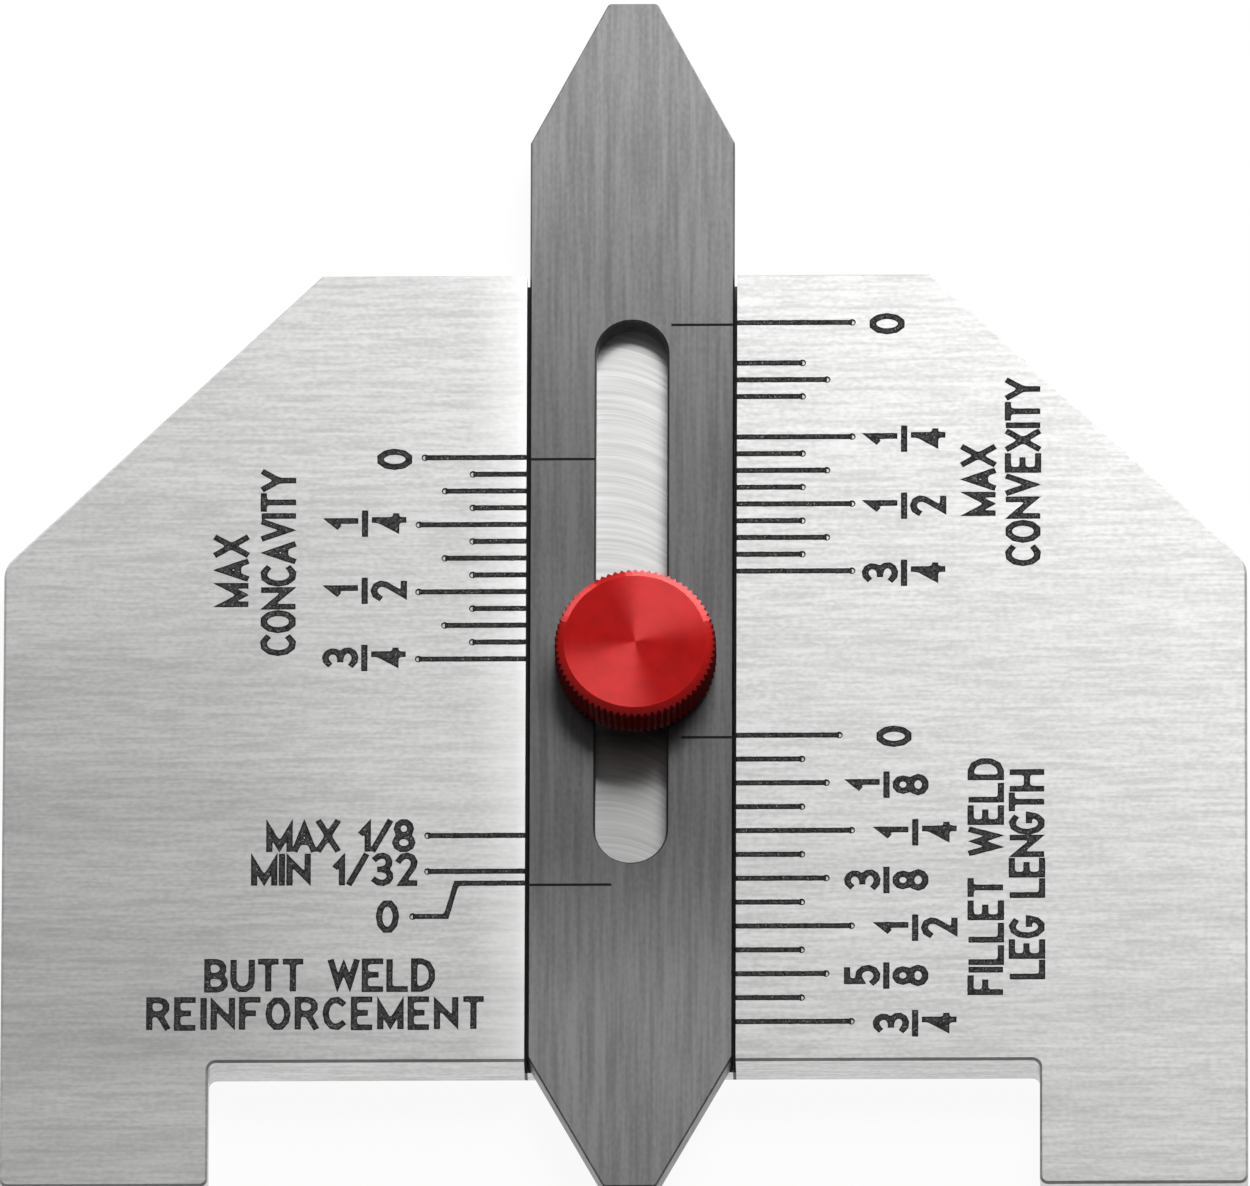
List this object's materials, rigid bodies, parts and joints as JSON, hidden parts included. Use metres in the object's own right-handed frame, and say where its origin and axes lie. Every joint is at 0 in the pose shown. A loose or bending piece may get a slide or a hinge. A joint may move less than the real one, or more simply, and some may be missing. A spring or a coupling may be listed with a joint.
{
  "type": "weld gauge",
  "caption": "Flat steel weld gauge with a pointer sliding in a centre groove, a red knurled clamp knob, 45 degree shoulders, a notched foot edge and engraved inch scales.",
  "frame": {"origin": "under the middle of the gauge's overall outline, on the plate's back face", "axes": "+X across the plate to the right as its engraving is read, +Y up the plate along the pointer's slide, +Z out of the engraved face"},
  "size_m": [0.0762, 0.079, 0.0059],
  "materials": {
    "plate_steel": "stainless, brushed across, engraving filled black",
    "pointer_steel": "stainless, brushed lengthways, darker grey",
    "knob_red": "turned face, red anodised",
    "screw_steel": "plain turned steel"
  },
  "bodies": {
    "plate": {"body_plate": "plate_steel"},
    "pointer": {"pointer_blade": "pointer_steel"},
    "washer": {"clamp_washer": "screw_steel"},
    "thumb_screw": {"clamp_knob": "knob_red", "clamp_stud": "screw_steel"}
  },
  "joints": [
    {"name": "pointer_slide", "type": "slide", "parent": "plate", "child": "pointer", "axis": [0, 1, 0], "range_m": [-0.0208, 0.01145]},
    {"name": "clamp_lift", "type": "slide", "parent": "plate", "child": "washer", "axis": [0, 0, 1], "range_m": [0, 0.00079375]},
    {"name": "knob_turn", "type": "hinge", "parent": "washer", "child": "thumb_screw", "pos_m": [0.00065, -0.00461, 0.00313], "axis": [0, 0, 1], "range_deg": [0, 360]}
  ],
  "couplings": [
    {"joint": "knob_turn", "follows": "clamp_lift", "rad_per_m": 7915.8}
  ]
}
